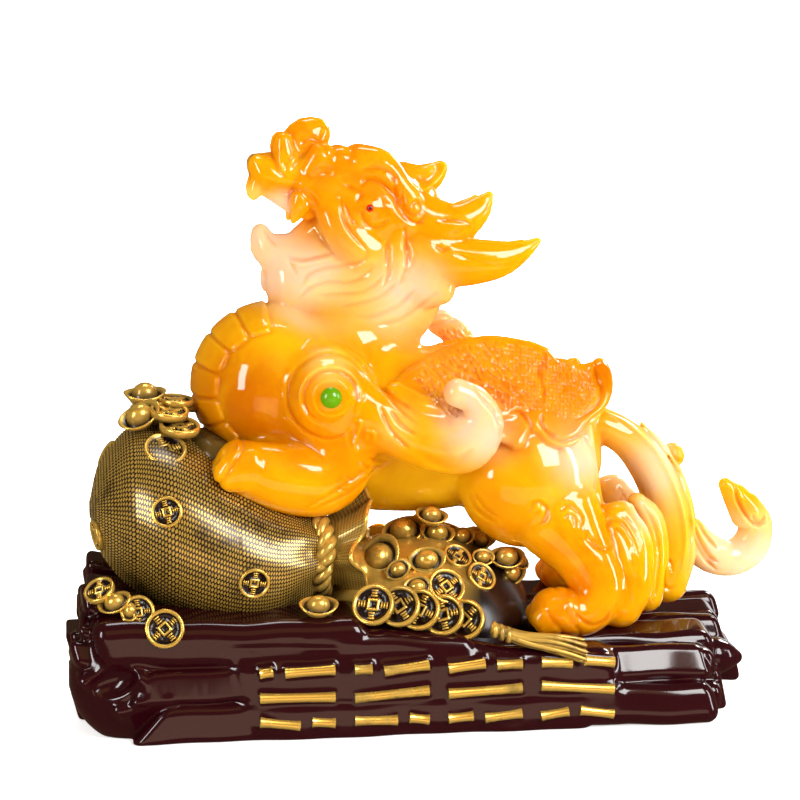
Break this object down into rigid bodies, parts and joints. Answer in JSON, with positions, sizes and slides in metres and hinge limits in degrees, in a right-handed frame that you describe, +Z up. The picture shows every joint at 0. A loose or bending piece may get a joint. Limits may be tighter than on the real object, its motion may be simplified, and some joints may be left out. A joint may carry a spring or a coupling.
{
  "type": "pixiu figure on a treasure base",
  "caption": "Winged lion-dragon figure with raised head and curled tail, forepaws on a money sack, on an oblong rock base with coins and ingots.",
  "frame": {"origin": "middle of the base's length and depth, on its flat underside", "axes": "+Z up, +X from the animal's snout towards its tail along the base, +Y from the front of the base with the sign to its back"},
  "size_m": [0.3818, 0.17, 0.3119],
  "materials": {
    "base_resin": "dark maroon gloss lacquer",
    "gold_paint": "gold paint rubbed over dark lacquer",
    "figure_resin": "translucent gloss, amber clouded with cream",
    "green_bead": "translucent gloss",
    "eye_bead": "gloss"
  },
  "bodies": {
    "root": {"treasure_base": "base_resin", "pixiu": "figure_resin", "shoulder_bead_left": "green_bead", "eye_bead_left": "eye_bead", "shoulder_bead_right": "green_bead", "eye_bead_right": "eye_bead"}
  },
  "joints": []
}
